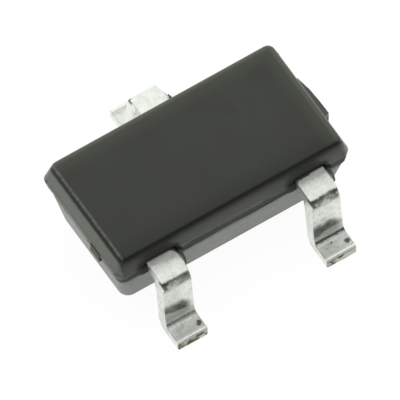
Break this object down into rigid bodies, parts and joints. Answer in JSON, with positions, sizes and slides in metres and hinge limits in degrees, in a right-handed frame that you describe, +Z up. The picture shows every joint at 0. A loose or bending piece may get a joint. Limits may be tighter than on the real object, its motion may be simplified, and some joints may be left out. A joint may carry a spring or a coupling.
{
  "type": "digital transistor",
  "caption": "Surface-mount transistor in a flat moulded block, with gull-wing leads along two opposite sides.",
  "frame": {"origin": "centre of the package on the board plane, under the middle of the moulded body", "axes": "+X along the body, towards the end with the gate lump; +Y towards the side with the single lead; +Z up, away from the board"},
  "size_m": [0.003, 0.0028, 0.0011],
  "materials": {
    "moulding_compound": "satin, fine moulded grain",
    "tin_plated_lead": "matte tin plating with dark stains in the bends",
    "cut_copper_alloy": "sheared, tarnished",
    "silicon": "polished",
    "attach_solder": "satin",
    "bond_gold": "drawn wire"
  },
  "bodies": {
    "root": {"moulded_body": "moulding_compound", "collector_lead": "tin_plated_lead", "input_lead": "tin_plated_lead", "ground_lead": "tin_plated_lead", "left_end_bar": "cut_copper_alloy", "right_end_bar": "cut_copper_alloy", "silicon_die": "silicon", "die_attach": "attach_solder", "input_bond_wire": "bond_gold", "ground_bond_wire": "bond_gold"}
  },
  "joints": []
}
